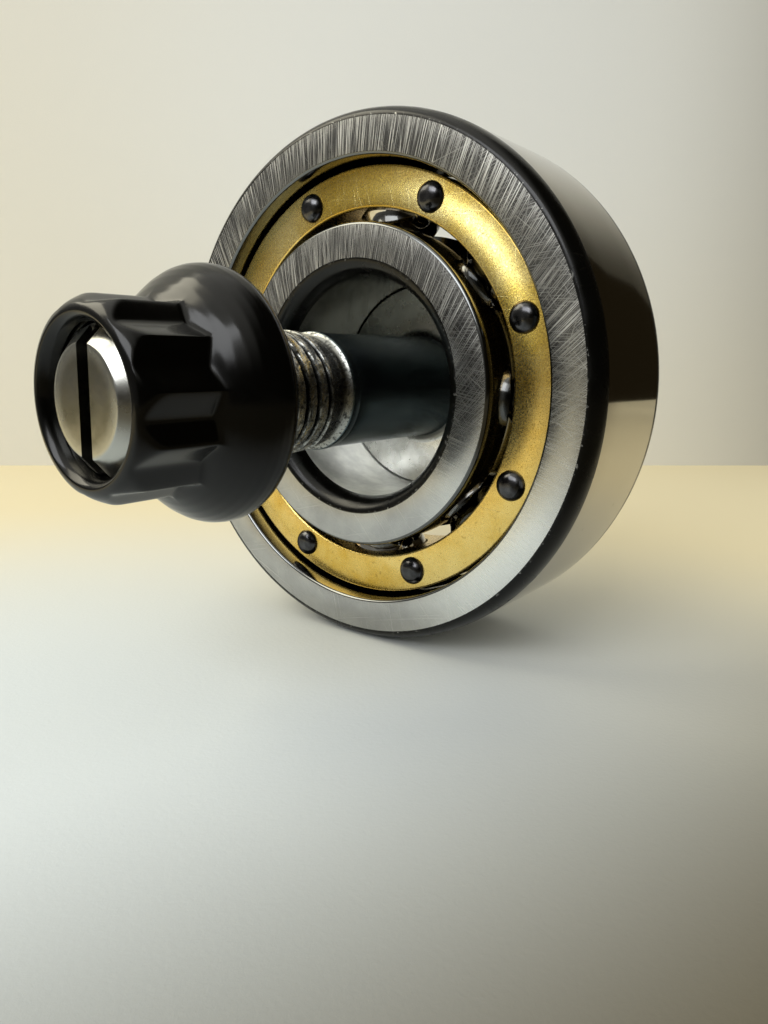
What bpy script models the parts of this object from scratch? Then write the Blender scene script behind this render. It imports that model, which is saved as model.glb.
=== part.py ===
"""Single-row ball bearing with a riveted brass cage, carried by a through stud with a flange nut.

The bearing's axis is world +Y, pointing away from the nut, and the origin is the bearing's centre.
Dimensions are in millimetres, and MM turns them into metres. Turned profiles are lists of
(radius, place along the axis); they start at the back and run down the outer side to the front.
"""

import math

import bmesh
import bpy
from mathutils import Matrix, Vector

MM = 0.001

# Bearing envelope
BORE_D = 20.0
OUTSIDE_D = 47.0
WIDTH = 14.0
OUTER_CORNER = (0.95, 1.75)  # radial and axial size of the rounded outside corners
BORE_CORNER = (1.4, 2.1)  # the same for the corners of the inner ring's bore
EDGE_BREAK = 0.25  # chamfer on the edges between a ring's face and its raceway side
OUTER_LAND_D = 39.2  # outer ring's bore beside the raceway
INNER_LAND_D = 28.8  # inner ring's outside beside the raceway

# Balls and raceways
BALLS = 8
BALL_D = 7.938
PITCH_D = 33.5
CONFORMITY = 0.52  # raceway radius over ball diameter
RACE_PLAY = 0.06  # gap between a ball and each raceway

# Cage, in two halves held together by rivets
CAGE_OUTSIDE_D = 38.4
CAGE_BORE_D = 31.4
CAGE_WIDTH = 10.5
CAGE_SPLIT = 0.1  # gap between the halves
CAGE_EDGE = 0.3
POCKET_PLAY = 0.16
CAGE_TURN = 25.3  # degrees about the axis, from +X to the first rivet
RIVET_CIRCLE_D = 34.8
RIVET_D = 1.6
RIVET_HOLE_D = 1.9
RIVET_HEAD_D = 2.6
RIVET_HEAD_HEIGHT = 0.7
RIVET_HEAD_GAP = 0.04

# Stud
SHANK_D = 9.8
STUD_TIP_Y = -32.8
TIP_FACE_D = 7.4
TIP_CHAMFER = 1.2  # axial length of the chamfer at the tip
TIP_ROUND = (0.3, 0.2)  # radial and axial size of the rounding between the chamfer and the tip's face
THREAD_D = 10.0
THREAD_PITCH = 1.25
THREAD_DEPTH = 0.5
THREAD_CREST = 0.5  # width of the flat on the thread's crest
THREAD_ROOT = 0.14  # the same at its root
THREAD_END_Y = -14.3
RELIEF_D = 8.9  # groove between the thread and the collar
COLLAR_Y = (-12.3, -11.3)
COLLAR_EDGE = 0.1
SLOT_WIDTH = 1.3
SLOT_DEPTH = 1.6
SLOT_TURN = 3.3  # degrees from upright
SPIGOT_D = 19.84
SPIGOT_FACE_Y = 4.1
ROOT_FILLET = 0.9
HEAD_D = 27.0
HEAD_THICKNESS = 3.2
HEAD_GAP = 0.1  # between the head and the inner ring's back face
HEAD_EDGE = 0.5
CENTRE_HOLE_D = 3.0
CENTRE_HOLE_DEPTH = 1.3

# Flange nut
NUT_SEAT_Y = -22.7
NUT_LENGTH = 10.4
NUT_FLANGE_D = 18.7
NUT_WRENCH = 12.0  # across the flats of each of the two hexagons
NUT_BORE_D = 10.2
NUT_TURN = 24.0  # degrees about the axis, from +X to the first ridge
# the flange's domed side, as (distance in from the rim, distance from the seat)
NUT_DOME = ((0.35, 0), (0.05, 0.3), (0, 0.9), (0.25, 1.9), (0.95, 3.1), (2.15, 4.2))
# the rounding at the front end, as (radius, distance from the end)
NUT_NOSE = ((7.03, 1.5), (6.6, 0.9), (6.3, 0.3), (5.8, 0.02))
SEAT_SINK = 0.4  # size of the 45 degree countersink in the seat
NOSE_SINK = 0.35  # the same at the front end

RING_STEPS = 64
CAGE_STEPS = 48
STUD_STEPS = 36
THREAD_STEPS = 24
NUT_STEPS = 48
RIVET_STEPS = 12
GROOVE_STEPS = 6


def clear_scene():
    for obj in list(bpy.data.objects):
        bpy.data.objects.remove(obj)


def new_collection(name, hidden=False):
    collection = bpy.data.collections.new(name)
    bpy.context.scene.collection.children.link(collection)
    collection.hide_render = hidden
    return collection


def metal(name, color, roughness):
    """A Principled metal."""
    material = bpy.data.materials.new(name)
    material.use_nodes = True
    shader = material.node_tree.nodes["Principled BSDF"]
    shader.inputs["Base Color"].default_value = (*color, 1.0)
    shader.inputs["Metallic"].default_value = 1.0
    shader.inputs["Roughness"].default_value = roughness
    return material


def new_empty(name, collection, parent=None, turn=0.0):
    """An empty on the bearing's axis, turned about it."""
    empty = bpy.data.objects.new(name, None)
    empty.empty_display_size = 10 * MM
    empty.parent = parent
    empty.rotation_euler = (0, 0, math.radians(turn))
    collection.objects.link(empty)
    return empty


def arc(centre, radius, start, end, steps):
    """Points of an arc, with angles in degrees from the radial direction towards the back."""
    angles = [math.radians(start + (end - start) * i / steps) for i in range(steps + 1)]
    return [(centre[0] + radius * math.cos(a), centre[1] + radius * math.sin(a)) for a in angles]


def corner(outer, face, size, steps=2):
    """Rounded corner from a face at the back round to an outside radius, as an elliptical quarter."""
    points = []
    for i in range(steps + 1):
        a = math.radians(90 - 90 * i / steps)
        points.append((outer - size[0] * (1 - math.cos(a)), face - size[1] * (1 - math.sin(a))))
    return points


def mirrored(points):
    """The same points on the front side, in the order that continues the profile."""
    return [(r, -y) for r, y in reversed(points)]


def turned(name, profile, steps, parent, collection, ring=True, flats_on_size=False):
    """Solid of revolution about the parent's Z. A ring's profile is closed; any other ends on the axis.
    With flats_on_size the facets, and not their corners, lie on the profile's radii."""
    half_step = math.pi / steps if flats_on_size else 0.0
    turn = Matrix.Rotation(half_step, 3, "Z")
    grow = 1 / math.cos(half_step)
    edges = [(i, i + 1) for i in range(len(profile) - 1)]
    if ring:
        edges.append((len(profile) - 1, 0))
    mesh = bpy.data.meshes.new(name)
    mesh.from_pydata([turn @ Vector((r * grow, 0, y)) * MM for r, y in profile], edges, [])
    obj = bpy.data.objects.new(name, mesh)
    obj.parent = parent
    collection.objects.link(obj)
    screw = obj.modifiers.new("turn", "SCREW")
    screw.steps = steps
    screw.render_steps = steps
    screw.use_merge_vertices = True
    screw.merge_threshold = 0.00001
    bake(obj)
    return obj


def bake(obj):
    """Replaces the mesh by what its modifiers make of it, shaded smooth with sharp corners."""
    bpy.context.view_layer.update()
    graph = bpy.context.evaluated_depsgraph_get()
    mesh = bpy.data.meshes.new_from_object(obj.evaluated_get(graph))
    obj.modifiers.clear()
    obj.data = mesh
    mesh.shade_smooth()
    mesh.set_sharp_from_angle(angle=math.radians(35))


def boolean(obj, operation, other):
    modifier = obj.modifiers.new(operation.lower(), "BOOLEAN")
    modifier.operation = operation
    modifier.solver = "EXACT"
    modifier.object = other


def as_cutter(obj):
    obj.hide_render = True
    obj.display_type = "WIRE"
    return obj


def bmesh_object(name, collection, parent, build):
    """An object whose mesh the build function makes from bmesh primitives."""
    mesh = bpy.data.meshes.new(name)
    shape = bmesh.new()
    build(shape)
    shape.to_mesh(mesh)
    shape.free()
    obj = bpy.data.objects.new(name, mesh)
    obj.parent = parent
    collection.objects.link(obj)
    return obj


def outer_ring(axis, parts):
    """Rounded outside corners, flat faces, and a raceway in the bore. Its outside has flats on the true size,
    so that it stands on one of them."""
    half = WIDTH / 2
    land = OUTER_LAND_D / 2
    race = CONFORMITY * BALL_D
    centre = PITCH_D / 2 + BALL_D / 2 + RACE_PLAY - race
    reach = math.degrees(math.acos((land - centre) / race))
    outside = corner(OUTSIDE_D / 2, half, OUTER_CORNER)
    edge = [(land, half - EDGE_BREAK), (land + EDGE_BREAK, half)]
    profile = outside + mirrored(outside) + mirrored(edge)
    profile += arc((centre, 0), race, -reach, reach, GROOVE_STEPS) + edge
    return turned("outer_ring", profile, RING_STEPS, axis, parts, flats_on_size=True)


def inner_ring(axis, parts):
    """A raceway outside, and large rounded corners at the bore."""
    half = WIDTH / 2
    land = INNER_LAND_D / 2
    race = CONFORMITY * BALL_D
    centre = PITCH_D / 2 - BALL_D / 2 - RACE_PLAY + race
    reach = math.degrees(math.acos((centre - land) / race))
    edge = [(land - EDGE_BREAK, half), (land, half - EDGE_BREAK)]
    groove = arc((centre, 0), race, 180 - reach, 180 + reach, GROOVE_STEPS)
    bore = [(BORE_D - r, y) for r, y in corner(BORE_D / 2, half, BORE_CORNER)]
    profile = edge + groove + mirrored(edge) + [(r, -y) for r, y in bore] + list(reversed(bore))
    return turned("inner_ring", profile, RING_STEPS, axis, parts)


def cage_cutters(cage_axis, cutters):
    """One mesh with the ball pockets, and one with the rivet holes."""

    def pockets(shape):
        for i in range(BALLS):
            angle = math.radians((i + 0.5) * 360 / BALLS)
            place = Matrix.Rotation(angle, 4, "Z") @ Matrix.Translation((PITCH_D / 2 * MM, 0, 0))
            radius = (BALL_D / 2 + POCKET_PLAY) * MM
            bmesh.ops.create_uvsphere(shape, u_segments=20, v_segments=12, radius=radius, matrix=place)

    def holes(shape):
        for i in range(BALLS):
            place = Matrix.Rotation(math.radians(i * 360 / BALLS), 4, "Z")
            place = place @ Matrix.Translation((RIVET_CIRCLE_D / 2 * MM, 0, 0))
            radius = RIVET_HOLE_D / 2 * MM
            bmesh.ops.create_cone(shape, cap_ends=True, segments=RIVET_STEPS, radius1=radius,
                                  radius2=radius, depth=2 * CAGE_WIDTH * MM, matrix=place)

    made = [bmesh_object("pocket_cutter", cutters, cage_axis, pockets),
            bmesh_object("rivet_hole_cutter", cutters, cage_axis, holes)]
    return [as_cutter(obj) for obj in made]


def cage_half(name, side, cage_axis, parts, cutters):
    """Half of the cage: a turned ring, open at the pockets and drilled for the rivets. side is -1 or +1."""
    near = CAGE_SPLIT / 2
    far = CAGE_WIDTH / 2
    outside = CAGE_OUTSIDE_D / 2
    bore = CAGE_BORE_D / 2
    profile = [(outside - CAGE_EDGE, far), (outside, far - CAGE_EDGE), (outside, near), (bore, near),
               (bore, far - CAGE_EDGE), (bore + CAGE_EDGE, far)]
    if side < 0:
        profile = mirrored(profile)
    half = turned(name, profile, CAGE_STEPS, cage_axis, parts)
    for cutter in cutters:
        boolean(half, "DIFFERENCE", cutter)
    bake(half)
    return half


def rivet(name, angle, cage_axis, parts):
    """Plain shank with a domed head on each face of the cage."""
    seat = CAGE_WIDTH / 2 + RIVET_HEAD_GAP
    head = RIVET_HEAD_D / 2
    rise = RIVET_HEAD_HEIGHT
    dome = [(0, seat + rise), (0.55 * head, seat + 0.86 * rise), (0.9 * head, seat + 0.45 * rise)]
    dome.append((head, seat))
    back = dome + [(RIVET_D / 2, seat)]
    obj = turned(name, back + mirrored(back), RIVET_STEPS, cage_axis, parts, ring=False)
    radius = RIVET_CIRCLE_D / 2 * MM
    obj.location = (radius * math.cos(angle), radius * math.sin(angle), 0)
    return obj


def ball(name, angle, cage_axis, parts):
    def build(shape):
        bmesh.ops.create_icosphere(shape, subdivisions=3, radius=BALL_D / 2 * MM)

    obj = bmesh_object(name, parts, cage_axis, build)
    radius = PITCH_D / 2 * MM
    obj.location = (radius * math.cos(angle), radius * math.sin(angle), 0)
    obj.data.shade_smooth()
    return obj


def thread_cutter(axis, cutters):
    """The helical groove between the thread's turns. It runs out past the tip and into the relief groove."""
    crest = THREAD_D / 2
    slope = (THREAD_PITCH - THREAD_CREST - THREAD_ROOT) / 2 / THREAD_DEPTH
    outside = (THREAD_PITCH * 0.98 - THREAD_ROOT) / 2 / slope + crest - THREAD_DEPTH
    start = (THREAD_END_Y + COLLAR_Y[0]) / 2
    turns = math.ceil((start - STUD_TIP_Y) / THREAD_PITCH) + 1
    wide = THREAD_PITCH * 0.98 / 2
    narrow = THREAD_ROOT / 2
    groove = [(outside, wide), (outside, -wide), (crest - THREAD_DEPTH, -narrow),
              (crest - THREAD_DEPTH, narrow)]
    mesh = bpy.data.meshes.new("thread_cutter")
    corners = [Vector((r, 0, start + y)) * MM for r, y in groove]
    mesh.from_pydata(corners, [(i, (i + 1) % len(groove)) for i in range(len(groove))], [])
    obj = bpy.data.objects.new("thread_cutter", mesh)
    obj.parent = axis
    cutters.objects.link(obj)
    screw = obj.modifiers.new("helix", "SCREW")
    screw.steps = THREAD_STEPS
    screw.render_steps = THREAD_STEPS
    screw.iterations = turns
    screw.screw_offset = -THREAD_PITCH * MM
    bake(obj)
    shape = bmesh.new()
    shape.from_mesh(obj.data)
    bmesh.ops.holes_fill(shape, edges=[edge for edge in shape.edges if edge.is_boundary], sides=0)
    bmesh.ops.recalc_face_normals(shape, faces=shape.faces)
    shape.to_mesh(obj.data)
    shape.free()
    return as_cutter(obj)


def stud(axis, parts, cutters):
    """One turned piece: head, spigot in the bore, shank, collar, relief groove, thread, and a chamfered tip
    with a driving slot."""
    shank = SHANK_D / 2
    head = HEAD_D / 2
    seat = WIDTH / 2 + HEAD_GAP
    back = seat + HEAD_THICKNESS
    hole = CENTRE_HOLE_D / 2
    profile = [(0, back - CENTRE_HOLE_DEPTH), (hole, back)]
    profile += [(head - HEAD_EDGE, back), (head, back - HEAD_EDGE), (head, seat), (SPIGOT_D / 2, seat)]
    profile += [(SPIGOT_D / 2, SPIGOT_FACE_Y)]
    fillet = arc((shank + ROOT_FILLET, SPIGOT_FACE_Y - ROOT_FILLET), ROOT_FILLET, 90, 180, 3)
    profile += fillet
    crest = THREAD_D / 2
    relief = RELIEF_D / 2
    rise = crest - relief
    profile += [(shank, COLLAR_Y[1]), (crest, COLLAR_Y[1] - COLLAR_EDGE), (crest, COLLAR_Y[0] + COLLAR_EDGE)]
    profile += [(crest - COLLAR_EDGE, COLLAR_Y[0]), (relief, COLLAR_Y[0] - rise)]
    profile += [(relief, THREAD_END_Y + rise)]
    profile += [(crest, THREAD_END_Y)]
    face = TIP_FACE_D / 2
    profile += [(crest, STUD_TIP_Y + TIP_CHAMFER), (face + TIP_ROUND[0], STUD_TIP_Y + TIP_ROUND[1])]
    profile += [(face, STUD_TIP_Y), (0, STUD_TIP_Y)]
    obj = turned("stud", profile, STUD_STEPS, axis, parts, ring=False)

    def slot(shape):
        size = Matrix.Diagonal((SLOT_WIDTH * MM, 2 * SHANK_D * MM, 2 * SLOT_DEPTH * MM, 1))
        bmesh.ops.create_cube(shape, size=1, matrix=size)

    cutter = as_cutter(bmesh_object("slot_cutter", cutters, axis, slot))
    cutter.location = (0, 0, STUD_TIP_Y * MM)
    cutter.rotation_euler = (0, 0, math.radians(SLOT_TURN))
    boolean(obj, "DIFFERENCE", thread_cutter(axis, cutters))
    boolean(obj, "DIFFERENCE", cutter)
    bake(obj)
    return obj


def flange_nut(axis, parts, cutters):
    """Turned flange joined to a twelve-point body, whose front end is rounded off, with a plain bore."""
    seat = NUT_SEAT_Y
    front = NUT_SEAT_Y - NUT_LENGTH
    ridge = NUT_WRENCH / 2 / math.cos(math.radians(30))
    valley = NUT_WRENCH / 2 / math.cos(math.radians(15))
    rim = NUT_FLANGE_D / 2
    dome = [(rim - inset, seat - drop) for inset, drop in NUT_DOME]
    flange = [(0, seat)] + dome + [(ridge - 0.4, seat - 4.6), (0, seat - 4.6)]
    nut = turned("flange_nut", flange, NUT_STEPS, axis, parts, ring=False)
    nut.rotation_euler = (0, 0, math.radians(NUT_TURN))

    def twelve_points(shape):
        length = NUT_LENGTH - 1.0
        bmesh.ops.create_cone(shape, cap_ends=True, segments=24, radius1=ridge * MM, radius2=ridge * MM,
                              depth=length * MM)
        for vertex in shape.verts:
            corner_number = round(math.degrees(math.atan2(vertex.co.y, vertex.co.x)) / 15)
            if corner_number % 2:
                vertex.co.xy *= valley / ridge
            vertex.co.z += (front + length / 2) * MM

    body = as_cutter(bmesh_object("nut_body", cutters, nut, twelve_points))
    nose = [(r, front + rise) for r, rise in NUT_NOSE]
    form = [(0, seat - 0.5), (ridge + 1, seat - 0.5), (ridge + 1, front + 2.2)] + nose + [(0, nose[-1][1])]
    rounding = as_cutter(turned("nut_rounding", form, NUT_STEPS, nut, cutters, ring=False))
    boolean(body, "INTERSECT", rounding)
    bake(body)
    bore = NUT_BORE_D / 2
    drill = [(0, seat + 1), (bore + SEAT_SINK + 1, seat + 1), (bore, seat - SEAT_SINK)]
    drill += [(bore, front + NOSE_SINK), (bore + NOSE_SINK + 1, front - 1), (0, front - 1)]
    drill_cutter = turned("nut_drill", drill, STUD_STEPS, nut, cutters, ring=False, flats_on_size=True)
    boolean(nut, "UNION", body)
    boolean(nut, "DIFFERENCE", as_cutter(drill_cutter))
    bake(nut)
    return nut


def main():
    clear_scene()
    parts = new_collection("stud_bearing")
    cutters = new_collection("cutters", hidden=True)
    ground = metal("ground_steel", (0.62, 0.62, 0.60), 0.32)
    brass = metal("cage_brass", (0.72, 0.50, 0.16), 0.34)
    gunmetal = metal("rivet_steel", (0.10, 0.10, 0.11), 0.35)
    chrome_steel = metal("ball_steel", (0.75, 0.75, 0.76), 0.08)
    stud_steel = metal("stud_steel", (0.16, 0.17, 0.18), 0.38)
    black_oxide = metal("black_oxide", (0.03, 0.03, 0.035), 0.25)

    axis = new_empty("bearing_axis", parts)
    axis.rotation_euler = (math.radians(-90), 0, 0)
    cage_axis = new_empty("cage_axis", parts, axis, CAGE_TURN)
    made = [(outer_ring(axis, parts), ground), (inner_ring(axis, parts), ground)]
    hole_cutters = cage_cutters(cage_axis, cutters)
    made.append((cage_half("cage_front", -1, cage_axis, parts, hole_cutters), brass))
    made.append((cage_half("cage_back", 1, cage_axis, parts, hole_cutters), brass))
    for i in range(BALLS):
        step = 2 * math.pi / BALLS
        made.append((rivet(f"rivet_{i + 1}", i * step, cage_axis, parts), gunmetal))
        made.append((ball(f"ball_{i + 1}", (i + 0.5) * step, cage_axis, parts), chrome_steel))
    made.append((stud(axis, parts, cutters), stud_steel))
    made.append((flange_nut(axis, parts, cutters), black_oxide))
    for obj, material in made:
        obj.data.materials.clear()
        obj.data.materials.append(material)


main()
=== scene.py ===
"""Looks of the stud bearing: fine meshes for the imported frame, their materials, the light and the camera.

The bearing's axis is world +Y, pointing away from the nut, and every piece is turned about it, so a profile is
a list of (radius, y) in millimetres. The sizes repeat the CAD's; the places of the balls and rivets are read
from the frame.
"""

import math

import bmesh
import bpy
import numpy as np
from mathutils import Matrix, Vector


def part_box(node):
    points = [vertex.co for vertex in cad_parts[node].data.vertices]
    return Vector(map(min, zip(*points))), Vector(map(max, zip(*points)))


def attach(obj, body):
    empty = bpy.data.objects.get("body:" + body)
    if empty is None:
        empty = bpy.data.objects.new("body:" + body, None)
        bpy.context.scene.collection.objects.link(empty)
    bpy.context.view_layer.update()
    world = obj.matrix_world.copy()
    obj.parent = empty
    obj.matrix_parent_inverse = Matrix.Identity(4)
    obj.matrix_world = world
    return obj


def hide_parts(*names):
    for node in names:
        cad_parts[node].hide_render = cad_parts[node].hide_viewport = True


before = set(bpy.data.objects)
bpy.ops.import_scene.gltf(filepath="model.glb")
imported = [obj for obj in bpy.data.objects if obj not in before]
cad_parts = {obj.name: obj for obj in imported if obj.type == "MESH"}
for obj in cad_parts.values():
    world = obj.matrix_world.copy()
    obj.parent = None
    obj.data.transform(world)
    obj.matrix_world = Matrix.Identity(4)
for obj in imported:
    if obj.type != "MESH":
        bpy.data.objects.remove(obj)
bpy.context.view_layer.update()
MM = 0.001


# ---------------------------------------------------------------- sizes, in mm

HALF_WIDTH = 7.0  # of both rings

OUTSIDE_R = 23.5
OUTER_CORNER = (0.95, 1.75)  # radial and axial size of the rounded outside corners
OUTER_LAND_R = 19.6  # the outer ring's bore beside the raceway
# the rounding from that land to the face, as (out from the land, in from the face)
OUTER_BREAK = ((0.0, 0.27), (0.06, 0.12), (0.18, 0.02), (0.25, 0.0))

BORE_R = 10.0
BORE_CORNER = (1.4, 2.1)  # radial and axial size of the rounded corners of the inner ring's bore
INNER_LAND_R = 14.4  # the inner ring's outside beside the raceway
# the rounding from the face to that land, as (in from the land, in from the face)
INNER_BREAK = ((0.3, 0.0), (0.22, 0.02), (0.08, 0.12), (0.0, 0.3))

BALLS = 8
BALL_R = 3.969
PITCH_R = 16.75
RACE_R = 0.52 * 2 * BALL_R
RACE_PLAY = 0.06  # gap between a ball and each raceway

CAGE_OUTSIDE_R = 19.2
CAGE_BORE_R = 15.7
CAGE_Y = (0.05, 5.25)  # where the back half starts and ends; the front half mirrors it
CAGE_EDGE = 0.22
POCKET_PLAY = 0.16
RIVET_HOLE_R = 0.9
RIVET_R = 0.85
RIVET_SEAT_Y = 5.29
# a rivet's head, from its centre to its edge, as (radius, height)
RIVET_DOME = ((0, 0.70), (0.35, 0.69), (0.62, 0.64), (0.86, 0.54), (1.06, 0.39), (1.2, 0.22), (1.27, 0.08),
              (1.28, 0.0))

HEAD_R = 13.5
HEAD_Y = (7.1, 10.3)  # the head's seat, beside the inner ring, and its back
CENTRE_HOLE = (1.5, 1.3)  # radius and depth
SPIGOT_R = 9.92
SPIGOT_Y = 4.1
ROOT_FILLET = 0.9
SHANK_R = 4.9
COLLAR_Y = (-12.3, -11.3)  # the collar's front and back
RELIEF_R = 4.45
THREAD_END_Y = -14.3
THREAD_PITCH = 1.25
CREST_R = 5.0
ROOT_R = 4.5
CREST_SHARE = 0.60  # share of the pitch's half that is crest
FLANK_SHARE = 0.34  # the same for the flank
TIP_Y = -32.8
TIP_R = 3.7
TIP_CHAMFER = 1.2  # axial length of the cone behind the tip
SLOT_WIDTH = 1.3
SLOT_DEPTH = 1.6
SLOT_TURN = 3.3  # degrees from upright

NUT_SEAT_Y = -22.7
NUT_FRONT_Y = -33.08
NUT_BORE_R = 5.1
NUT_BORE_END_Y = -28.0
NUT_FLANGE_R = 9.35
NUT_HALF_WRENCH = 6.0  # half the width across the flats of each of the two hexagons
NUT_RIDGE_R = 6.93
NUT_TURN = -24.0  # degrees to the first ridge
# the edge of the nut's seat, as (radius, distance from the seat)
NUT_SEAT_EDGE = ((5.6, 0.0), (8.9, 0.0), (9.1, 0.05), (9.26, 0.22), (9.34, 0.5))
# the flange's domed side, as (distance from the seat, radius)
NUT_DOME = ((0.9, 9.35), (1.4, 9.28), (1.9, 9.1), (2.5, 8.75), (3.1, 8.28), (3.7, 7.7), (4.2, 7.1), (4.7, 6.3),
            (5.4, 4.0))
# the rounding at the nut's front end, as (distance from the end, radius)
NUT_NOSE = ((0.02, 5.82), (0.08, 6.0), (0.2, 6.18), (0.4, 6.36), (0.7, 6.55), (1.1, 6.76), (1.6, 6.98),
            (2.2, 7.3))
# the lip round the bore at the same end, as (radius, distance from the end)
NUT_LIP = ((5.72, 0.0), (5.6, 0.0), (5.5, 0.04), (5.1, 0.42))


# ---------------------------------------------------------------- meshes

SHARP = 32  # degrees between two faces that make a sharp edge
NUT_SHARP = 50  # the same on the nut, whose ridges are eased


def ellipse(centre, size, start, end, steps):
    """Points on an ellipse of size (radial, axial), with angles in degrees from the radial direction to +Y."""
    angles = np.radians(np.linspace(start, end, steps + 1))
    return [(centre[0] + size[0] * math.cos(a), centre[1] + size[1] * math.sin(a)) for a in angles]


def arc(centre, radius, start, end, steps):
    """The same on a circle."""
    return ellipse(centre, (radius, radius), start, end, steps)


def front_of(points):
    """The mirror image on the front side, in the order that continues a profile."""
    return [(r, -y) for r, y in reversed(points)]


def finished(name, points, faces, sharp):
    """A mesh object with doubled points merged, faces turned outwards, smooth shading and sharp corners."""
    mesh = bpy.data.meshes.new(name)
    mesh.from_pydata(points.tolist(), [], faces.tolist())
    shape = bmesh.new()
    shape.from_mesh(mesh)
    bmesh.ops.remove_doubles(shape, verts=shape.verts, dist=1e-7)
    bmesh.ops.dissolve_degenerate(shape, edges=shape.edges, dist=1e-7)
    bmesh.ops.recalc_face_normals(shape, faces=shape.faces)
    shape.to_mesh(mesh)
    shape.free()
    mesh.shade_smooth()
    mesh.set_sharp_from_angle(angle=math.radians(sharp))
    obj = bpy.data.objects.new(name, mesh)
    bpy.context.scene.collection.objects.link(obj)
    return obj


def wrapped(name, radii, places, closed, sharp=SHARP):
    """A surface round the axis from two arrays, rows down the profile by columns round the axis, in mm.
    A closed one joins its last row to its first; an open one ends on the axis."""
    rows, columns = radii.shape
    angles = np.linspace(0, 2 * math.pi, columns, endpoint=False)
    points = np.stack([radii * np.cos(angles), places, radii * np.sin(angles)], axis=-1) * MM
    index = np.arange(rows * columns).reshape(rows, columns)
    below = np.roll(index, -1, axis=0) if closed else index[1:]
    here = index if closed else index[:-1]
    faces = np.stack([here, below, np.roll(below, -1, axis=1), np.roll(here, -1, axis=1)], axis=-1)
    return finished(name, points.reshape(-1, 3), faces.reshape(-1, 4), sharp)


def round_rows(profile, columns):
    """The rows of a profile that is the same all round, as (radii, places) pairs for stacked()."""
    return [(np.full(columns, r), np.full(columns, y)) for r, y in profile]


def stacked(name, rows, closed, sharp=SHARP):
    return wrapped(name, np.array([r for r, _ in rows]), np.array([y for _, y in rows]), closed, sharp)


def lathe(name, profile, steps=240, closed=True):
    return stacked(name, round_rows(profile, steps), closed)


def cut(obj, cutters):
    """Cuts the cutters out of obj, and removes them."""
    for cutter in cutters:
        modifier = obj.modifiers.new("cut", "BOOLEAN")
        modifier.operation = "DIFFERENCE"
        modifier.solver = "EXACT"
        modifier.object = cutter
    bpy.context.view_layer.update()
    graph = bpy.context.evaluated_depsgraph_get()
    mesh = bpy.data.meshes.new_from_object(obj.evaluated_get(graph))
    obj.modifiers.clear()
    obj.data = mesh
    for cutter in cutters:
        bpy.data.objects.remove(cutter)
    mesh.shade_smooth()
    mesh.set_sharp_from_angle(angle=math.radians(SHARP))


def paint(obj, materials, choose=None):
    """Gives obj its materials. choose(radius, y), in mm, picks one of them for each face."""
    obj.data.materials.clear()
    for material in materials:
        obj.data.materials.append(material)
    for face in obj.data.polygons:
        centre = face.center / MM
        face.material_index = choose(math.hypot(centre.x, centre.z), centre.y) if choose else 0


# ---------------------------------------------------------------- materials

FAN_REACH = 28.0  # mm from a fan's centre, where its scratches have their stated width


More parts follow.
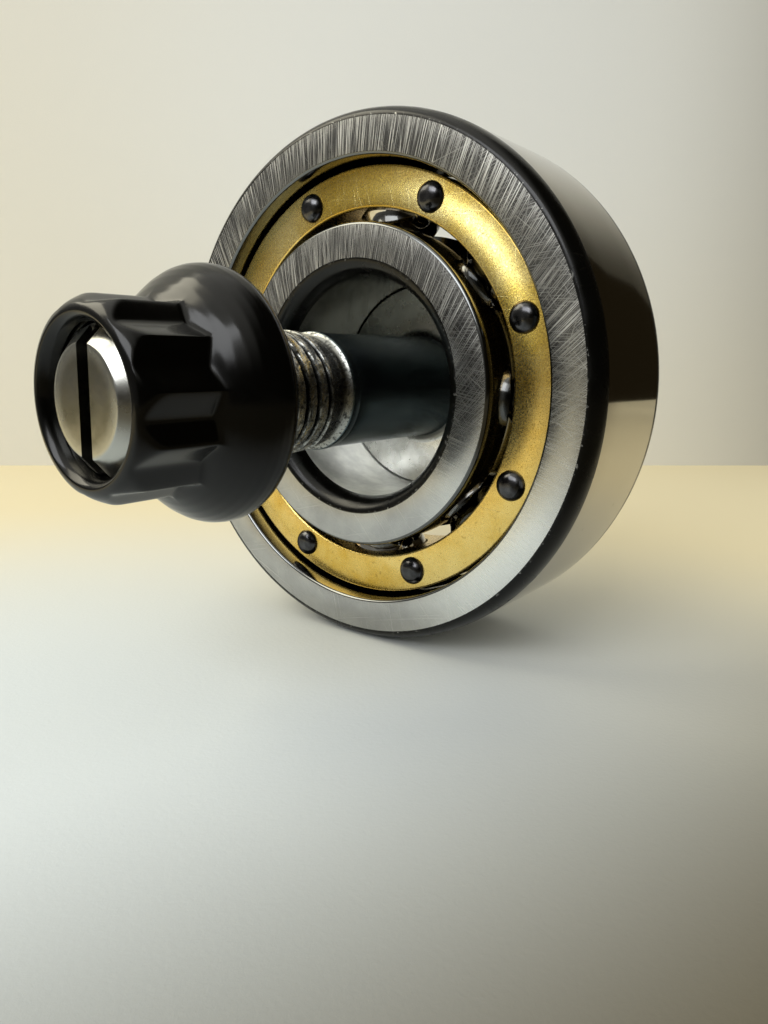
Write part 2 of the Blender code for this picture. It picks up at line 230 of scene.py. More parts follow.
class Nodes:
    """Short ways to add shader nodes to one material. Textures read Object coordinates, in metres."""

    def __init__(self, name, metallic=1.0, roughness=0.3, specular=0.5):
        self.material = bpy.data.materials.new(name)
        self.material.use_nodes = True
        self.tree = self.material.node_tree
        self.shader = self.tree.nodes["Principled BSDF"]
        self.shader.inputs["Metallic"].default_value = metallic
        self.shader.inputs["Roughness"].default_value = roughness
        self.shader.inputs["Specular IOR Level"].default_value = specular
        self.place = self.add("ShaderNodeTexCoord").outputs["Object"]
        self.height = None

    def add(self, kind, **values):
        node = self.tree.nodes.new(kind)
        for key, value in values.items():
            setattr(node, key, value)
        return node

    def link(self, source, target):
        if isinstance(source, (int, float, tuple)):
            target.default_value = source
        else:
            self.tree.links.new(source, target)

    def math(self, operation, a, b=0.0):
        node = self.add("ShaderNodeMath", operation=operation)
        self.link(a, node.inputs[0])
        self.link(b, node.inputs[1])
        return node.outputs[0]

    def times(self, a, b):
        return self.math("MULTIPLY", a, b)

    def most(self, a, b):
        return self.math("MAXIMUM", a, b)

    def noise(self, scale, detail, rough, stretch=None, turn=0.0, seed=0.0):
        """Noise of about scale grains a metre. stretch scales the axes; turn rotates about Y, in degrees."""
        place = self.place
        if stretch is not None:
            turned = self.add("ShaderNodeVectorRotate", rotation_type="Y_AXIS")
            self.link(place, turned.inputs["Vector"])
            turned.inputs["Angle"].default_value = math.radians(turn)
            scaled = self.add("ShaderNodeVectorMath", operation="MULTIPLY")
            self.link(turned.outputs[0], scaled.inputs[0])
            scaled.inputs[1].default_value = stretch
            place = scaled.outputs[0]
        node = self.add("ShaderNodeTexNoise", noise_dimensions="4D")
        self.link(place, node.inputs["Vector"])
        node.inputs["W"].default_value = seed
        node.inputs["Scale"].default_value = scale
        node.inputs["Detail"].default_value = detail
        node.inputs["Roughness"].default_value = rough
        return node.outputs["Fac"]

    def span(self, value, low, high, to_low=0.0, to_high=1.0, smooth=False):
        """Maps low..high to to_low..to_high, clamped."""
        node = self.add("ShaderNodeMapRange", interpolation_type="SMOOTHSTEP" if smooth else "LINEAR")
        self.link(value, node.inputs["Value"])
        for key, number in (("From Min", low), ("From Max", high), ("To Min", to_low), ("To Max", to_high)):
            self.link(number, node.inputs[key])
        return node.outputs[0]

    def blend(self, amount, first, second):
        """Mixes two colours."""
        node = self.add("ShaderNodeMix", data_type="RGBA")
        self.link(amount, node.inputs["Factor"])
        for colour, socket in ((first, node.inputs[6]), (second, node.inputs[7])):
            self.link((*colour, 1.0) if isinstance(colour, tuple) else colour, socket)
        return node.outputs[2]

    def parts(self):
        """x, y and z of the shaded point, in metres."""
        split = self.add("ShaderNodeSeparateXYZ")
        self.link(self.place, split.inputs[0])
        return split.outputs

    def length(self, x, z):
        return self.math("SQRT", self.math("ADD", self.times(x, x), self.times(z, z)))

    def polar(self):
        """(radius, y), in mm, of the shaded point."""
        x, y, z = self.parts()
        return self.math("DIVIDE", self.length(x, z), MM), self.math("DIVIDE", y, MM)

    def fan(self, centre, width, length, cover, seed):
        """Fine scratches that spread out from centre, an (x, z) in mm, 0 to 1. width and length are in mm."""
        x, _, z = self.parts()
        x = self.math("SUBTRACT", x, centre[0] * MM)
        z = self.math("SUBTRACT", z, centre[1] * MM)
        far = self.length(x, z)
        spot = self.add("ShaderNodeCombineXYZ")
        self.link(self.times(self.math("ARCTAN2", z, x), FAN_REACH / width), spot.inputs[0])
        self.link(self.math("DIVIDE", far, length * MM), spot.inputs[1])
        node = self.add("ShaderNodeTexNoise", noise_dimensions="4D")
        self.link(spot.outputs[0], node.inputs["Vector"])
        node.inputs["W"].default_value = seed
        node.inputs["Scale"].default_value = 1.0
        node.inputs["Detail"].default_value = 1.5
        return self.span(node.outputs["Fac"], 1 - cover, 1 - cover + 0.16)

    def scratches(self, turns, length, width, cover, seed):
        """Fine straight scratches in several directions, 0 to 1. length and width are in mm."""
        total = None
        stretch = (1.0, width / length, width / length)
        for i, turn in enumerate(turns):
            grain = self.noise(1 / (width * MM), 1.0, 0.5, stretch, turn, seed + 7.3 * i)
            line = self.span(grain, 1 - cover, 1 - cover + 0.1)
            total = line if total is None else self.most(total, line)
        return total

    def hairlines(self, density, drift, detail, seed):
        """Fine lines round the axis, density of them a metre, which wander over drift grains a metre."""
        return self.noise(1.0, detail, 0.6, (drift, density, drift), 0, seed)

    def color(self, value):
        self.link(value, self.shader.inputs["Base Color"])

    def roughness(self, value):
        self.link(value, self.shader.inputs["Roughness"])

    def metallic(self, value):
        self.link(value, self.shader.inputs["Metallic"])

    def bump(self, height, depth):
        """Adds relief of that depth, in mm."""
        node = self.add("ShaderNodeBump")
        node.inputs["Strength"].default_value = 1.0
        node.inputs["Distance"].default_value = depth * MM
        self.link(height, node.inputs["Height"])
        if self.height is not None:
            self.link(self.height, node.inputs["Normal"])
        self.height = node.outputs[0]
        self.link(self.height, self.shader.inputs["Normal"])


def ground_steel():
    """Flat ground faces. Bright hairline scratches fan upwards at the top and sideways at the right, and a
    few cross them; the bottom is smoother. Painted shade darkens the top between the scratches, and a painted
    highlight brightens the bottom at the right."""
    dull, pale = (0.38, 0.38, 0.375), (0.48, 0.48, 0.47)
    painted_top_shade, painted_low_right_highlight, mark = (0.17, 0.17, 0.17), (0.82, 0.83, 0.81), (0.95, 0.95, 0.93)
    n = Nodes("ground_steel")
    x, _, z = n.parts()
    top = n.span(z, -9 * MM, 10 * MM, smooth=True)
    side = n.span(x, 4 * MM, 15 * MM, smooth=True)
    clump = n.span(n.noise(240, 3.0, 0.6, seed=5.0), 0.34, 0.62, 0.25, 1.0)
    rising = n.times(n.fan((-3, -17), 0.048, 5.0, 0.49, 1.0), top)
    steep = n.times(n.fan((9, -36), 0.07, 9.0, 0.40, 13.0), n.times(top, clump))
    level = n.times(n.fan((-22, 7), 0.048, 2.6, 0.46, 30.0), n.times(side, 0.5))
    crossing = n.times(n.scratches((36, 52), 4.0, 0.05, 0.35, 20.0), n.times(side, n.times(clump, 0.6)))
    stray = n.times(n.scratches((12, 41, 66, 104), 12.0, 0.05, 0.29, 40.0), 0.6)
    marks = rising
    for more in (steep, level, crossing, stray):
        marks = n.most(marks, more)
    grain = n.noise(7000, 2.0, 0.6, seed=3.0)
    tone = n.blend(n.span(n.noise(300, 3.0, 0.6, seed=9.0), 0.36, 0.66), dull, pale)
    # painted shade: the top is darkened wherever there are no scratches
    tone = n.blend(n.times(n.math("SUBTRACT", 1.0, marks), n.times(top, 0.70)), tone, painted_top_shade)
    # painted highlight: the lower right is brightened towards pale steel
    low_right = n.times(n.span(x, 6 * MM, 14 * MM, smooth=True), n.span(z, -4 * MM, -12 * MM, smooth=True))
    tone = n.blend(n.times(low_right, 0.85), tone, painted_low_right_highlight)
    n.color(n.blend(n.times(marks, 0.92), tone, mark))
    n.roughness(n.span(marks, 0.0, 1.0, 0.24, 0.50))
    n.bump(grain, 0.0006)
    n.bump(marks, 0.0016)
    return n.material


def black_scale():
    """Unground oxide on the rings' corners: black and glossy, finely dimpled and scuffed, with the steel
    showing in nicks along the edge of the ground face."""
    black, scuffed, steel = (0.0018, 0.0018, 0.0014), (0.06, 0.05, 0.035), (0.45, 0.45, 0.42)
    n = Nodes("black_scale", metallic=0.0, roughness=0.25, specular=0.3)
    _, y = n.polar()
    edge = n.span(n.math("ABSOLUTE", y), HALF_WIDTH - 0.045, HALF_WIDTH - 0.01)
    nick = n.times(edge, n.span(n.noise(2600, 3.0, 0.65, seed=61.0), 0.60, 0.70))
    dimple = n.noise(2600, 3.0, 0.6, seed=2.0)
    cloud = n.noise(500, 2.0, 0.5, seed=5.0)
    scuff = n.scratches((15, 80, 140), 2.5, 0.05, 0.28, 20.0)
    tone = n.blend(n.times(scuff, 0.25), black, scuffed)
    n.color(n.blend(nick, tone, steel))
    n.metallic(nick)
    n.roughness(n.span(cloud, 0.35, 0.7, 0.17, 0.32))
    n.bump(dimple, 0.0022)
    n.bump(scuff, 0.001)
    return n.material


def polished_steel(name, tint, roughness):
    """Polished running surfaces with hairlines round the axis and a few dark specks."""
    n = Nodes(name)
    hair = n.hairlines(26000.0, 40.0, 2.0, 11.0)
    speck = n.span(n.noise(1500, 2.0, 0.5, seed=17.0), 0.72, 0.78)
    n.color(n.blend(n.times(speck, 0.5), tint, (0.12, 0.10, 0.08)))
    n.roughness(n.span(hair, 0.3, 0.7, roughness * 0.7, roughness * 1.5))
    n.bump(hair, 0.0003)
    return n.material


def honed_bore():
    """The inner ring's bore: polished and dark with painted shade at the top, satin and bright with a mottled
    painted highlight at the bottom.
    """
    polished, painted_light_pale, painted_light_dull = (0.24, 0.24, 0.22), (0.86, 0.87, 0.82), (0.56, 0.57, 0.54)
    n = Nodes("honed_bore")
    _, _, z = n.parts()
    hair = n.hairlines(26000.0, 40.0, 2.0, 11.0)
    cloud = n.noise(330, 3.0, 0.6, seed=19.0)
    # painted light: polished is painted shade for the top, worn a mottled painted highlight for the bottom
    low = n.span(z, 1 * MM, -6 * MM, smooth=True)
    worn = n.blend(n.span(cloud, 0.38, 0.64), painted_light_pale, painted_light_dull)
    n.color(n.blend(low, polished, worn))
    n.roughness(n.span(low, 0.0, 1.0, 0.18, 0.34))
    n.metallic(n.span(low, 0.0, 1.0, 1.0, 0.50))
    n.bump(hair, 0.0003)
    return n.material


def cage_brass():
    """Machined brass: a very fine grain, stains, sparse dark specks, hairline scratches, and painted shade on
    the top.
    """
    deep, pale, painted_shade_brass = (0.70, 0.445, 0.075), (0.89, 0.68, 0.25), (0.44, 0.27, 0.035)
    dark_speck, scratched = (0.22, 0.14, 0.03), (0.98, 0.86, 0.45)
    n = Nodes("cage_brass")
    grain = n.noise(6500, 2.0, 0.6, seed=4.0)
    swell = n.noise(1400, 2.0, 0.5, seed=8.0)
    stain = n.noise(150, 4.0, 0.62, seed=21.0)
    speck = n.span(n.noise(2600, 2.0, 0.5, seed=23.0), 0.64, 0.70)
    fleck = n.scratches((20, 75, 130), 0.8, 0.06, 0.31, 60.0)
    scratch = n.scratches((3, 18, 85), 7.0, 0.05, 0.31, 90.0)
    base = n.blend(n.span(stain, 0.36, 0.66), deep, pale)
    x, _, z = n.parts()
    # painted shade darkens the top of the cage
    painted_cage_top_shade = n.times(n.span(x, -9 * MM, -3 * MM, smooth=True), n.span(x, 9 * MM, 2 * MM, smooth=True))
    painted_cage_top_shade = n.times(n.span(z, 9 * MM, 14 * MM, smooth=True), painted_cage_top_shade)
    base = n.blend(n.times(painted_cage_top_shade, 0.80), base, painted_shade_brass)
    base = n.blend(n.times(n.most(fleck, speck), 0.34), base, dark_speck)
    n.color(n.blend(n.times(scratch, 0.35), base, scratched))
    n.roughness(n.span(grain, 0.3, 0.7, 0.17, 0.33))
    n.bump(swell, 0.003)
    n.bump(grain, 0.0017)
    n.bump(scratch, 0.0015)
    return n.material


def rivet_steel():
    """Dark steel, dented by the riveting punch."""
    n = Nodes("rivet_steel")
    dent = n.noise(1400, 3.0, 0.6, seed=6.0)
    grain = n.noise(9000, 2.0, 0.5, seed=1.0)
    n.color(n.blend(n.span(dent, 0.4, 0.7), (0.055, 0.055, 0.058), (0.11, 0.11, 0.115)))
    n.roughness(n.span(grain, 0.3, 0.7, 0.17, 0.26))
    n.bump(dent, 0.006)
    return n.material


def ball_steel():
    """Mirror-bright steel under a thin film of oil."""
    n = Nodes("ball_steel")
    film = n.noise(500, 3.0, 0.5, seed=2.0)
    n.color(n.blend(n.span(film, 0.4, 0.7), (0.66, 0.66, 0.66), (0.48, 0.45, 0.40)))
    n.roughness(n.span(film, 0.3, 0.7, 0.03, 0.09))
    return n.material


def shank_black():
    """Black oxide on the stud, faintly blue, with fine lines round it and a patchy painted grey highlight on
    top near its root.
    """
    oxide, painted_sheen_grey = (0.115, 0.150, 0.165), (0.27, 0.31, 0.30)
    n = Nodes("shank_black")
    lines = n.hairlines(14000.0, 60.0, 3.0, 3.0)
    cloud = n.noise(420, 3.0, 0.6, seed=12.0)
    _, y, z = n.parts()
    # painted highlight: a patchy grey sheen on the top of the shank, towards its root
    top = n.times(n.span(z, 1.6 * MM, 4.3 * MM, smooth=True), n.span(y, -11 * MM, -2 * MM, 0.35, 1.0))
    rub = n.times(n.span(n.noise(190, 2.0, 0.5, (1.0, 0.35, 1.0), 0, 31.0), 0.36, 0.66), top)
    n.color(n.blend(rub, oxide, painted_sheen_grey))
    n.metallic(n.span(rub, 0.0, 1.0, 1.0, 0.72))
    n.roughness(n.span(cloud, 0.3, 0.75, 0.23, 0.27))
    n.bump(lines, 0.0004)
    return n.material


def worn_thread():
    """Thread and relief groove: bright and pitted at the crests and the collar's lip, black in the roots."""
    black, steel = (0.016, 0.017, 0.017), (0.36, 0.365, 0.345)
    n = Nodes("worn_thread")
    radius, y = n.polar()
    chip = n.noise(2600, 4.0, 0.65, seed=14.0)
    rub = n.noise(380, 3.0, 0.6, seed=25.0)
    wavy_radius = n.math("ADD", radius, n.times(n.math("SUBTRACT", rub, 0.5), 0.9))
    crest = n.span(wavy_radius, CREST_R - 0.26, CREST_R - 0.03)
    relief = n.times(n.span(y, THREAD_END_Y - 0.2, THREAD_END_Y), n.span(rub, 0.36, 0.62, 0.18, 0.62))
    lip = n.span(y, COLLAR_Y[0] - 0.42, COLLAR_Y[0] - 0.26)
    crest = n.most(crest, n.most(relief, lip))
    pit = n.span(chip, 0.50, 0.60)
    bright = n.times(crest, n.math("SUBTRACT", 1.0, n.times(pit, 0.85)))
    n.color(n.blend(bright, black, steel))
    n.roughness(n.span(chip, 0.3, 0.7, 0.20, 0.34))
    n.bump(chip, 0.012)
    return n.material


def tip_steel():
    """Scuffed tip of the stud, with a painted highlight brightening it towards its rim."""
    pale, dull, painted_rim_highlight = (0.26, 0.25, 0.21), (0.145, 0.138, 0.102), (0.42, 0.42, 0.39)
    n = Nodes("tip_steel")
    cloud = n.noise(420, 3.0, 0.6, seed=33.0)
    hair = n.scratches((5, 60, 118), 3.0, 0.04, 0.38, 70.0)
    # painted highlight towards the rim of the tip
    rim = n.span(n.polar()[0], 2.5, 3.5, smooth=True)
    flat = n.blend(n.span(cloud, 0.38, 0.64), pale, dull)
    n.color(n.blend(rim, flat, painted_rim_highlight))
    n.roughness(n.span(cloud, 0.3, 0.7, 0.16, 0.30))
    n.bump(hair, 0.0006)
    return n.material


def faced_steel():
    """Faced steel on the stud's head and spigot: fine turned grooves, with painted shade dulling the upper
    half and a painted highlight lightening the lower half.
    """
    dark, light, groove_pitch = (0.40, 0.395, 0.36), (0.96, 0.96, 0.94), 0.16
    # dull is painted shade for the upper half, light a painted highlight for the lower half
    dull = tuple(0.62 * c for c in dark)
    n = Nodes("faced_steel")
    wave = n.math("SINE", n.times(n.polar()[0], 2 * math.pi / groove_pitch))
    drift = n.span(n.noise(200, 3.0, 0.6, seed=41.0), 0.30, 0.72)
    uneven = n.noise(900, 2.0, 0.5, seed=43.0)
    low = n.span(n.parts()[2], 1 * MM, -7 * MM, smooth=True)
    n.color(n.blend(low, n.blend(drift, dull, dark), n.blend(drift, dark, light)))
    n.roughness(n.span(uneven, 0.3, 0.7, 0.208, 0.312))
    n.bump(wave, 0.0005)
    n.bump(uneven, 0.0008)
    return n.material


def nut_black():
    """Glossy black oxide with slight orange peel, faint scuffs, and a satin bloom in places."""
    n = Nodes("nut_black", metallic=0.0, roughness=0.15, specular=0.30)
    cloud = n.noise(300, 3.0, 0.6, seed=51.0)
    grain = n.noise(3600, 2.0, 0.6, seed=53.0)
    scuff = n.scratches((30, 75, 130), 1.6, 0.05, 0.28, 55.0)
    n.color(n.blend(n.times(scuff, 0.08), (0.0010, 0.0010, 0.0008), (0.03, 0.028, 0.024)))
    n.roughness(n.span(cloud, 0.35, 0.7, 0.12, 0.24))
    n.bump(grain, 0.0006)
    return n.material


# ---------------------------------------------------------------- pieces

FACE_SLACK = 0.004  # a face whose centre is this near a ring's side, in mm, belongs to the ground side


def centre_of(name):
    """The centre of a ball's or rivet's CAD node, in metres."""
    low, high = (Vector(corner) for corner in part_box(name))
    return (low + high) / 2


def outer_ring(ground, black, polished, land):
    """Ground faces, black rounded corners, a polished outside and a raceway in the bore."""
    face = HALF_WIDTH
    corner = ellipse((OUTSIDE_R - OUTER_CORNER[0], face - OUTER_CORNER[1]), OUTER_CORNER, 90, 0, 12)
    inner_edge = [(OUTER_LAND_R + out, face - back) for out, back in OUTER_BREAK]
    centre = PITCH_R + BALL_R + RACE_PLAY - RACE_R
    reach = math.degrees(math.acos((OUTER_LAND_R - centre) / RACE_R))
    race = arc((centre, 0), RACE_R, -reach, reach, 28)
    profile = corner + [(OUTSIDE_R, y) for y in (2.5, 0.0, -2.5)] + front_of(corner)
    profile += front_of(inner_edge) + race + inner_edge
    obj = lathe("outer_ring_fine", profile, 288)

    def choose(radius, y):
        if abs(y) > face - FACE_SLACK:
            return 0
        if radius > OUTSIDE_R - 1.0:
            return 1 if abs(y) > face - OUTER_CORNER[1] + 0.01 else 2
        return 3

    paint(obj, [ground, black, polished, land], choose)
    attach(obj, "outer")
    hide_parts("outer_ring")


def inner_ring(ground, black, bore, land):
    """Ground faces, black rounded corners in the bore, a honed bore and a raceway outside."""
    face = HALF_WIDTH
    outer_edge = [(INNER_LAND_R - down, face - back) for down, back in INNER_BREAK]
    centre = PITCH_R - BALL_R - RACE_PLAY + RACE_R
    reach = math.degrees(math.acos((centre - INNER_LAND_R) / RACE_R))
    race = arc((centre, 0), RACE_R, 180 - reach, 180 + reach, 28)
    corner = ellipse((BORE_R + BORE_CORNER[0], face - BORE_CORNER[1]), BORE_CORNER, 180, 90, 14)
    profile = outer_edge + race + front_of(outer_edge) + front_of(corner) + corner
    obj = lathe("inner_ring_fine", profile, 240)

    def choose(radius, y):
        if abs(y) > face - FACE_SLACK:
            return 0
        if radius < BORE_R + 2.0:
            return 1 if abs(y) > face - BORE_CORNER[1] + 0.01 else 2
        return 3

    paint(obj, [ground, black, bore, land], choose)
    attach(obj, "inner")
    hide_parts("inner_ring")


def cage_half(name, side, brass):
    """Half of the machined cage, with ball pockets and rivet holes."""
    near, far = CAGE_Y
    profile = arc((CAGE_OUTSIDE_R - CAGE_EDGE, far - CAGE_EDGE), CAGE_EDGE, 90, 0, 4)
    profile += [(CAGE_OUTSIDE_R, near), (CAGE_BORE_R, near)]
    profile += arc((CAGE_BORE_R + CAGE_EDGE, far - CAGE_EDGE), CAGE_EDGE, 180, 90, 4)
    if side < 0:
        profile = front_of(profile)
    obj = lathe(name + "_fine", profile, 240)
    cutters = []
    for number in range(1, BALLS + 1):
        bpy.ops.mesh.primitive_uv_sphere_add(segments=48, ring_count=24, radius=(BALL_R + POCKET_PLAY) * MM,
                                             location=centre_of(f"ball_{number}"))
        cutters.append(bpy.context.object)
        bpy.ops.mesh.primitive_cylinder_add(vertices=32, radius=RIVET_HOLE_R * MM, depth=2 * HALF_WIDTH * MM,
                                            location=centre_of(f"rivet_{number}"),
                                            rotation=(math.radians(90), 0, 0))
        cutters.append(bpy.context.object)
    cut(obj, cutters)
    paint(obj, [brass])
    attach(obj, "cage")
    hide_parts(name)
    return obj


def rivet(number, steel):
    """A shank with a low dome on each end, a little flattened by the riveting punch."""
    head = [(radius, RIVET_SEAT_Y + height) for radius, height in RIVET_DOME] + [(RIVET_R, RIVET_SEAT_Y)]
    obj = lathe(f"rivet_{number}_fine", head + front_of(head), 48, closed=False)
    obj.location = centre_of(f"rivet_{number}")
    paint(obj, [steel])
    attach(obj, "cage")
    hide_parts(f"rivet_{number}")


def ball(number, steel):
    obj = lathe(f"ball_{number}_fine", arc((0, 0), BALL_R, 90, -90, 36), 64, closed=False)
    obj.location = centre_of(f"ball_{number}")
    paint(obj, [steel])
    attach(obj, f"ball_{number}")
    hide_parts(f"ball_{number}")


THREAD_ROW = 0.062  # mm between the rows of the threaded end's mesh


def stud_radius(y, turn):
    """Radius of the threaded end and its relief groove, at y and at a share of a turn about the axis."""
    phase = (y / THREAD_PITCH + turn) % 1.0
    away = np.abs(phase - 0.5) * 2
    depth = np.clip((away - CREST_SHARE) / FLANK_SHARE, 0, 1)
    worn = 0.05 * np.sin(2 * math.pi * (3 * turn + 0.37 * y))
    worn += 0.03 * np.sin(2 * math.pi * (7 * turn - 0.9 * y))
    thread = CREST_R - 0.03 + 0.5 * worn - (CREST_R - ROOT_R) * depth**1.2
    fade = np.clip((THREAD_END_Y + 0.25 - y) / 0.5, 0, 1)
    cone = TIP_R + (y - TIP_Y) * ((CREST_R - TIP_R) / TIP_CHAMFER)
    return np.minimum(RELIEF_R + (thread - RELIEF_R) * fade, np.minimum(cone, CREST_R))


def stud(tip, thread, shank, faced):
    """Head, spigot, fillet, shank, collar, relief, thread and tip as one turned surface, and the slot."""
    columns = 192
    turn = np.linspace(0, 1, columns, endpoint=False)
    seat, back = HEAD_Y
    profile = [(0, back - CENTRE_HOLE[1]), (CENTRE_HOLE[0], back)]
    profile += [(HEAD_R - 0.6, back), (HEAD_R - 0.35, back - 0.05), (HEAD_R - 0.1, back - 0.25),
                (HEAD_R, back - 0.5), (HEAD_R, seat + 0.2), (HEAD_R - 0.1, seat)]
    profile += [(SPIGOT_R, seat), (SPIGOT_R, SPIGOT_Y + 0.1), (SPIGOT_R - 0.04, SPIGOT_Y + 0.02),
                (SPIGOT_R - 0.12, SPIGOT_Y)]
    profile += arc((SHANK_R + ROOT_FILLET, SPIGOT_Y - ROOT_FILLET), ROOT_FILLET, 90, 180, 10)
    profile += [(SHANK_R, y) for y in (0, -4, -8, -10.8)]
    profile += arc((CREST_R - 0.14, COLLAR_Y[1] - 0.14), 0.14, 90, 0, 4)
    profile += arc((CREST_R - 0.2, COLLAR_Y[0] + 0.2), 0.2, 0, -60, 5)
    profile += arc((RELIEF_R + 0.9, COLLAR_Y[0] - 0.75), 0.9, 125, 180, 8)
    rows = round_rows(profile, columns)
    for y in np.arange(COLLAR_Y[0] - 0.95, TIP_Y, -THREAD_ROW):
        rows.append((stud_radius(y, turn), np.full(columns, y)))
    rows += round_rows([(r, TIP_Y) for r in (TIP_R - 0.02, 3.4, 1.8, 0)], columns)
    obj = stacked("stud_fine", rows, False)
    bpy.ops.mesh.primitive_cube_add(size=1, location=(0, TIP_Y * MM, 0),
                                    rotation=(0, math.radians(SLOT_TURN), 0),
                                    scale=(SLOT_WIDTH * MM, 2 * SLOT_DEPTH * MM, 20 * MM))
    cut(obj, [bpy.context.object])

    def choose(radius, y):
        if y < TIP_Y + 1.3:
            return 0
        if y < COLLAR_Y[0] + 0.06:
            return 1
        if y > SPIGOT_Y - 0.85 and radius > CREST_R:
            return 3
        return 2

    paint(obj, [tip, thread, shank, faced], choose)
    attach(obj, "inner")
    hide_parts("stud")


def twelve_point(angles):
    """Radius of two hexagons 30 degrees apart, with eased ridges and valleys."""
    def hexagon(a):
        return NUT_HALF_WRENCH / np.cos((a % (math.pi / 3)) - math.pi / 6)

    first = hexagon(angles)
    second = hexagon(angles + math.pi / 6)
    star = (first**90 + second**90) ** (1 / 90)
    return (star**-90 + NUT_RIDGE_R**-90) ** (-1 / 90)


def flange_nut(black):
    """Twelve-point body running into a domed flange, with a rounded front rim and a plain bore."""
    columns = 480
    angles = np.linspace(0, 2 * math.pi, columns, endpoint=False)
    star = twelve_point(angles - math.radians(NUT_TURN))
    y = np.concatenate([np.linspace(NUT_SEAT_Y - 0.9, NUT_SEAT_Y - 5.4, 44),
                        np.linspace(NUT_SEAT_Y - 5.6, NUT_FRONT_Y + 2.4, 12),
                        np.linspace(NUT_FRONT_Y + 2.3, NUT_FRONT_Y + 0.02, 30)])
    flange = np.interp(NUT_SEAT_Y - y, *zip(*NUT_DOME))
    nose = np.interp(y - NUT_FRONT_Y, *zip(*NUT_NOSE))
    body = (star[None, :] ** -70.0 + nose[:, None] ** -70.0) ** (-1 / 70)
    outside = np.minimum((body**40.0 + flange[:, None] ** 40.0) ** (1 / 40), NUT_FLANGE_R)
    rows = round_rows([(NUT_BORE_R, NUT_BORE_END_Y), (NUT_BORE_R, NUT_SEAT_Y - 0.4)], columns)
    rows += round_rows([(r, NUT_SEAT_Y - back) for r, back in NUT_SEAT_EDGE], columns)
    rows += [(outside[i], np.full(columns, y[i])) for i in range(len(y))]
    rows += round_rows([(r, NUT_FRONT_Y + back) for r, back in NUT_LIP], columns)
    obj = stacked("flange_nut_fine", rows, True, NUT_SHARP)
    paint(obj, [black])
    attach(obj, "nut")
    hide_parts("flange_nut")


# ---------------------------------------------------------------- stage

CAMERA_PLACE = Vector((44.04, -57.99, 2.55)) * MM
CAMERA_FORWARD = Vector((-0.60528, 0.76993, -0.20210))
LENS = 25.75
FLOOR_Z = -OUTSIDE_R * MM
WALL_AHEAD = 0.112  # metres from the bearing to the wall
HEADING = math.atan2(-CAMERA_FORWARD.x, CAMERA_FORWARD.y)
AHEAD = Vector((-math.sin(HEADING), math.cos(HEADING), 0))
RIGHT = Vector((math.cos(HEADING), math.sin(HEADING), 0))
UP = Vector((0, 0, 1))


def placed(right, ahead, up):
    """A place in the room, in metres from the bearing as the camera sees it."""
    return right * RIGHT + ahead * AHEAD + up * UP


TONE_REACH = (0.02, 0.11)  # metres over which the paper's painted light turns from its near colour into its far one
DIM_SHARE = 0.13  # how bright the paper's painted shade is, as a share of its far colour
# tint of the paper's painted shade
DIM_TINT = (1.0, 0.94, 0.80)


def paper(name, near, far, centre, fade, reach):
    """Matt paper with a faint tooth. Its colour is painted light: near about centre and far beyond it, tints
    that stand in for the light falling on it, and painted shade dims it along the direction fade, from the
    first to the second of the distances in reach, in metres from the bearing."""
    n = Nodes(name, metallic=0.0, roughness=0.85, specular=0.15)
    place = n.add("ShaderNodeNewGeometry").outputs["Position"]
    away = n.add("ShaderNodeVectorMath", operation="DISTANCE")
    n.link(place, away.inputs[0])
    away.inputs[1].default_value = centre
    tone = n.blend(n.span(away.outputs["Value"], *TONE_REACH, smooth=True), near, far)
    along = n.add("ShaderNodeVectorMath", operation="DOT_PRODUCT")
    n.link(place, along.inputs[0])
    along.inputs[1].default_value = fade
    dim = n.span(along.outputs["Value"], *reach, smooth=True)
    shaded = tuple(DIM_SHARE * c * w for c, w in zip(far, DIM_TINT))
    n.color(n.blend(dim, tone, shaded))
    n.bump(n.noise(1500, 4.0, 0.6, seed=71.0), 0.03)
    return n.material


def sheet(name, place, rotation, size, material):
    bpy.ops.mesh.primitive_plane_add(size=1, location=place, rotation=rotation)
    obj = bpy.context.object
    obj.name = name
    obj.scale = (size[0], size[1], 1)
    obj.data.materials.append(material)


def area_light(name, place, size, radiance, colour):
    """A soft box facing the bearing. radiance is how bright its face looks."""
    data = bpy.data.lights.new(name, "AREA")
    data.shape = "RECTANGLE"
    data.size, data.size_y = size
    data.energy = radiance * size[0] * size[1] * math.pi
    data.color = colour
    obj = bpy.data.objects.new(name, data)
    obj.location = place
    obj.rotation_mode = "QUATERNION"
    obj.rotation_quaternion = (-place).to_track_quat("-Z", "Y")
    bpy.context.scene.collection.objects.link(obj)
    return obj


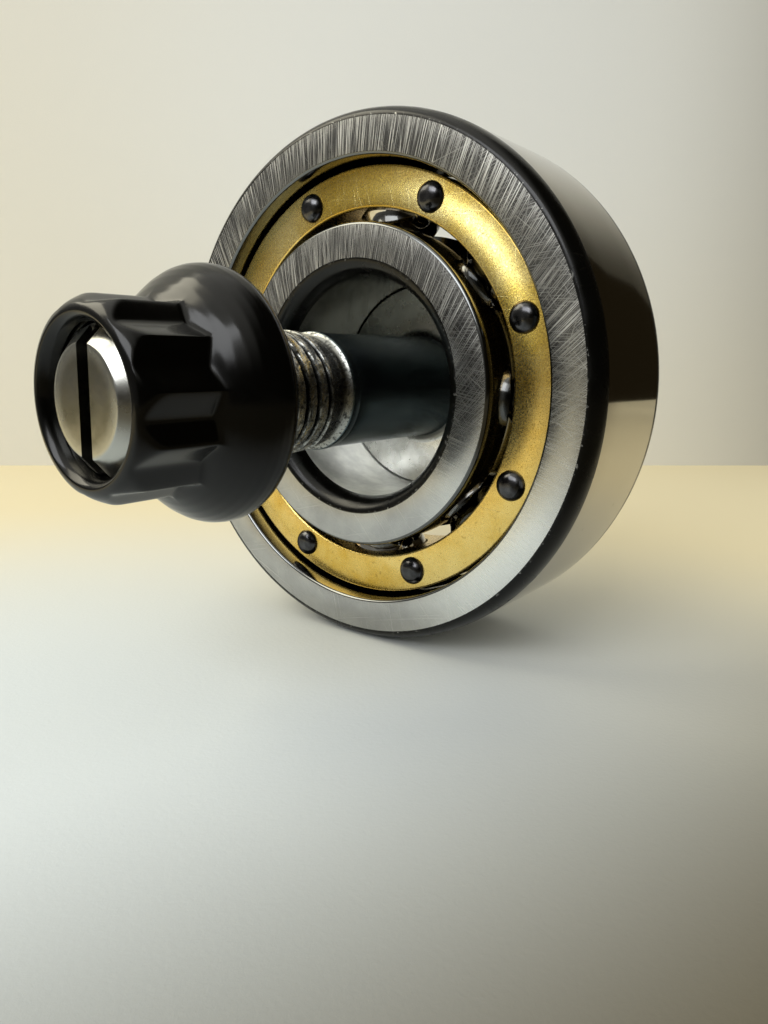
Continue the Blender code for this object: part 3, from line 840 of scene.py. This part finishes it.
def room():
    """A dark room with a pale ceiling on the left, for mirror-like things. Matt things get an even light, and
    beyond the paper the camera sees a pale background, darker towards the right."""
    left_wall, right_wall, ceiling = (0.19, 0.185, 0.165), (0.016, 0.012, 0.006), (1.10, 1.08, 0.98)
    even_light = (0.47, 0.49, 0.50)
    background_left, background_right = (0.62, 0.615, 0.58), (0.27, 0.26, 0.23)
    world = bpy.data.worlds.new("room")
    bpy.context.scene.world = world
    world.use_nodes = True
    nodes, links = world.node_tree.nodes, world.node_tree.links
    direction = nodes.new("ShaderNodeTexCoord").outputs["Generated"]

    def along(axis, low, high):
        dot = nodes.new("ShaderNodeVectorMath")
        dot.operation = "DOT_PRODUCT"
        links.new(direction, dot.inputs[0])
        dot.inputs[1].default_value = axis
        ramp = nodes.new("ShaderNodeMapRange")
        ramp.interpolation_type = "SMOOTHSTEP"
        links.new(dot.outputs["Value"], ramp.inputs["Value"])
        ramp.inputs["From Min"].default_value = low
        ramp.inputs["From Max"].default_value = high
        return ramp.outputs[0]

    def mixed(amount, first, second):
        mix = nodes.new("ShaderNodeMix")
        mix.data_type = "RGBA"
        links.new(amount, mix.inputs["Factor"])
        for colour, socket in ((first, mix.inputs[6]), (second, mix.inputs[7])):
            if isinstance(colour, tuple):
                socket.default_value = (*colour, 1)
            else:
                links.new(colour, socket)
        return mix.outputs[2]

    over = nodes.new("ShaderNodeMath")
    over.operation = "MULTIPLY"
    links.new(along(UP, 0.25, 0.75), over.inputs[0])
    links.new(along(RIGHT, 0.40, -0.15), over.inputs[1])
    dark = mixed(along(RIGHT, -0.75, -0.1), left_wall, right_wall)
    mirrored = mixed(over.outputs[0], dark, ceiling)
    rays = nodes.new("ShaderNodeLightPath").outputs
    matt = mixed(rays["Is Diffuse Ray"], mirrored, even_light)
    seen = mixed(along(RIGHT, -0.2, 0.8), background_left, background_right)
    links.new(mixed(rays["Is Camera Ray"], matt, seen), nodes["Background"].inputs["Color"])


def stage():
    """Pale paper floor and wall, the room round them, a window high on the left and a wide lamp over the
    camera. Returns a low window on the left, which main() links to the cage alone."""
    # painted light and shade on the floor and the wall: cool and warm tints, dimmed by painted shade
    floor = paper("floor_paper", (0.70, 0.745, 0.75), (0.82, 0.72, 0.48), placed(-0.03, -0.04, FLOOR_Z),
                  placed(0.51, -0.86, 0), (0.014, 0.055))
    sheet("floor", placed(0, -0.03, FLOOR_Z), (0, 0, HEADING), (0.62, 0.56), floor)
    wall = paper("wall_paper", (0.81, 0.815, 0.78), (0.735, 0.715, 0.635), placed(0.01, WALL_AHEAD, 0.06),
                 placed(1, 0, 0), (0.056, 0.165))
    wall_place = placed(-0.0725, WALL_AHEAD, FLOOR_Z + 0.15)
    sheet("wall", wall_place, (math.radians(90), 0, HEADING), (0.475, 0.30), wall)
    room()
    area_light("window", placed(-0.42, 0.05, 0.42), (0.34, 0.34), 4.5, (1.0, 0.93, 0.72))
    area_light("lamp", placed(-0.21, -0.31, 0.30), (0.36, 0.22), 4.6, (0.97, 0.99, 1.02))
    return area_light("low_window", placed(-0.357, -0.161, 0.080), (0.052, 0.05), 11.0, (0.82, 1.0, 1.45))


def camera():
    data = bpy.data.cameras.new("camera")
    data.lens = LENS
    data.sensor_width = 36
    data.clip_start = 0.001
    obj = bpy.data.objects.new("camera", data)
    obj.location = CAMERA_PLACE
    obj.rotation_mode = "QUATERNION"
    obj.rotation_quaternion = CAMERA_FORWARD.to_track_quat("-Z", "Y")
    bpy.context.scene.collection.objects.link(obj)
    bpy.context.scene.camera = obj
    bpy.context.scene.view_settings.view_transform = "Standard"


def main():
    camera()
    low_window = stage()
    ground, black = ground_steel(), black_scale()
    polished = polished_steel("polished_steel", (0.47, 0.44, 0.385), 0.06)
    land = polished_steel("polished_land", (0.16, 0.165, 0.165), 0.10)
    outer_ring(ground, black, polished, land)
    inner_ring(ground, black, honed_bore(), land)
    brass = cage_brass()
    lit = bpy.data.collections.new("lit_by_low_window")
    for name, side in (("cage_front", -1), ("cage_back", 1)):
        lit.objects.link(cage_half(name, side, brass))
    low_window.light_linking.receiver_collection = lit
    rivets, balls = rivet_steel(), ball_steel()
    for number in range(1, BALLS + 1):
        rivet(number, rivets)
        ball(number, balls)
    stud(tip_steel(), worn_thread(), shank_black(), faced_steel())
    flange_nut(nut_black())


main()
bpy.context.view_layer.update()
